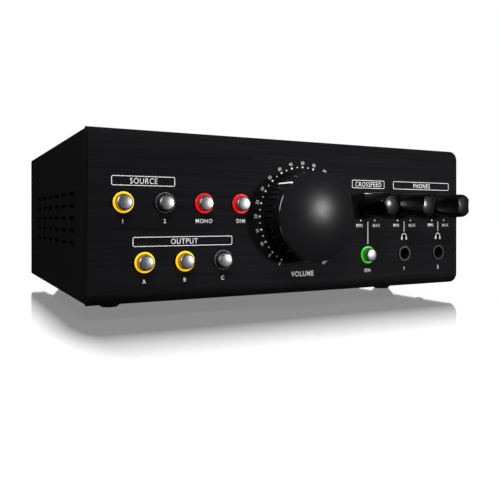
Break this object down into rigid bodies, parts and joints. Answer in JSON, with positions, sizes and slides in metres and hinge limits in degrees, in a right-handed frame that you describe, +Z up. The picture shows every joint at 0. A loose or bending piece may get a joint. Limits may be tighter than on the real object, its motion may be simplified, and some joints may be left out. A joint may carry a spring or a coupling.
{
  "type": "studio monitor controller",
  "caption": "Desk-top studio monitor controller: push-buttons select source and outputs, a large knob sets volume, and headphone sockets have their own level knobs.",
  "frame": {"origin": "middle of the footprint, on the surface that the feet stand on", "axes": "+X right as seen from the front, -Y out of the front panel, +Z up"},
  "size_m": [0.2134, 0.189, 0.0832],
  "materials": {
    "black_anodised_aluminium": "black anodised, brushed along its length",
    "black_painted_steel": "satin black powder coat",
    "black_rubber": "matt",
    "zinc_plated_steel": "bright zinc plating",
    "black_steel_screw": "black oxide",
    "circuit_board": "green solder mask",
    "brass": "turned brass",
    "white_component": "moulded relay case",
    "black_component": "moulded",
    "capacitor_sleeve": "shrunk sleeve",
    "bare_aluminium": "turned or extruded",
    "grey_ribbon": "flat cable",
    "soft_black_plastic": "soft satin",
    "glossy_black_plastic": "moulded, glossy",
    "white_ink": "printed or inlaid white",
    "silver_cap": "silver-grey lacquered",
    "grey_socket_plastic": "moulded",
    "amber_light": "clear ring lit from behind",
    "red_light": "clear ring lit from behind",
    "green_light": "clear ring lit from behind",
    "unlit_light": "clear ring, unlit"
  },
  "bodies": {
    "case": {"front_panel": "black_anodised_aluminium", "top_cover": "black_painted_steel", "base_tray": "black_painted_steel", "rear_panel": "black_painted_steel", "foot_front_left": "black_rubber", "foot_front_right": "black_rubber", "foot_rear_left": "black_rubber", "foot_rear_right": "black_rubber", "front_panel_screws": "zinc_plated_steel", "rear_panel_screws": "black_steel_screw", "cover_screws": "black_steel_screw", "foot_screws": "zinc_plated_steel", "main_board": "circuit_board", "control_board": "circuit_board", "board_standoffs": "brass", "board_screws": "zinc_plated_steel", "control_board_spacers": "brass", "control_board_screws": "zinc_plated_steel", "relays": "white_component", "amplifier_chips": "black_component", "capacitors": "capacitor_sleeve", "heat_sink": "bare_aluminium", "ribbon_cable": "grey_ribbon", "ribbon_headers": "black_component", "button_switches": "black_component", "amber_light_rings": "amber_light", "red_light_rings": "red_light", "green_light_ring": "green_light", "unlit_light_rings": "unlit_light", "volume_potentiometer": "zinc_plated_steel", "volume_potentiometer_nut": "zinc_plated_steel", "small_potentiometers": "zinc_plated_steel", "small_potentiometer_nuts": "zinc_plated_steel", "headphone_sockets": "grey_socket_plastic", "rear_sockets": "black_component", "rear_socket_nuts": "zinc_plated_steel", "usb_socket": "zinc_plated_steel", "power_inlet": "black_component", "power_switch_housing": "black_component"},
    "volume_knob": {"volume_knob": "soft_black_plastic", "volume_pointer": "white_ink", "volume_shaft": "bare_aluminium"},
    "crossfeed_knob": {"crossfeed_knob": "glossy_black_plastic", "crossfeed_pointer": "white_ink", "crossfeed_shaft": "bare_aluminium"},
    "phones_1_knob": {"phones_1_knob": "glossy_black_plastic", "phones_1_pointer": "white_ink", "phones_1_shaft": "bare_aluminium"},
    "phones_2_knob": {"phones_2_knob": "glossy_black_plastic", "phones_2_pointer": "white_ink", "phones_2_shaft": "bare_aluminium"},
    "source_1_button": {"source_1_cap": "silver_cap"},
    "source_2_button": {"source_2_cap": "silver_cap"},
    "mono_button": {"mono_cap": "silver_cap"},
    "dim_button": {"dim_cap": "silver_cap"},
    "output_a_button": {"output_a_cap": "silver_cap"},
    "output_b_button": {"output_b_cap": "silver_cap"},
    "output_c_button": {"output_c_cap": "silver_cap"},
    "crossfeed_on_button": {"crossfeed_on_cap": "silver_cap"},
    "power_rocker": {"power_rocker": "glossy_black_plastic"}
  },
  "joints": [
    {"name": "volume_turn", "type": "hinge", "parent": "case", "child": "volume_knob", "pos_m": [0, -0.0755, 0.0447], "axis": [0, 1, 0], "range_deg": [-107, 193]},
    {"name": "crossfeed_turn", "type": "hinge", "parent": "case", "child": "crossfeed_knob", "pos_m": [0.04135, -0.0755, 0.0507], "axis": [0, 1, 0], "range_deg": [-125, 175]},
    {"name": "phones_1_turn", "type": "hinge", "parent": "case", "child": "phones_1_knob", "pos_m": [0.06665, -0.0755, 0.0507], "axis": [0, 1, 0], "range_deg": [-162, 138]},
    {"name": "phones_2_turn", "type": "hinge", "parent": "case", "child": "phones_2_knob", "pos_m": [0.09195, -0.0755, 0.0507], "axis": [0, 1, 0], "range_deg": [-150, 150]},
    {"name": "source_1_press", "type": "slide", "parent": "case", "child": "source_1_button", "axis": [0, 1, 0], "range_m": [0, 0.0022], "stiffness_N_per_m": 500},
    {"name": "source_2_press", "type": "slide", "parent": "case", "child": "source_2_button", "axis": [0, 1, 0], "range_m": [0, 0.0022], "stiffness_N_per_m": 500},
    {"name": "mono_press", "type": "slide", "parent": "case", "child": "mono_button", "axis": [0, 1, 0], "range_m": [0, 0.0022], "stiffness_N_per_m": 500},
    {"name": "dim_press", "type": "slide", "parent": "case", "child": "dim_button", "axis": [0, 1, 0], "range_m": [0, 0.0022], "stiffness_N_per_m": 500},
    {"name": "output_a_press", "type": "slide", "parent": "case", "child": "output_a_button", "axis": [0, 1, 0], "range_m": [0, 0.0022], "stiffness_N_per_m": 500},
    {"name": "output_b_press", "type": "slide", "parent": "case", "child": "output_b_button", "axis": [0, 1, 0], "range_m": [0, 0.0022], "stiffness_N_per_m": 500},
    {"name": "output_c_press", "type": "slide", "parent": "case", "child": "output_c_button", "axis": [0, 1, 0], "range_m": [0, 0.0022], "stiffness_N_per_m": 500},
    {"name": "crossfeed_on_press", "type": "slide", "parent": "case", "child": "crossfeed_on_button", "axis": [0, 1, 0], "range_m": [0, 0.0022], "stiffness_N_per_m": 500},
    {"name": "power_rock", "type": "hinge", "parent": "case", "child": "power_rocker", "pos_m": [0.078, 0.089, 0.0447], "axis": [1, 0, 0], "range_deg": [0, 16]}
  ]
}
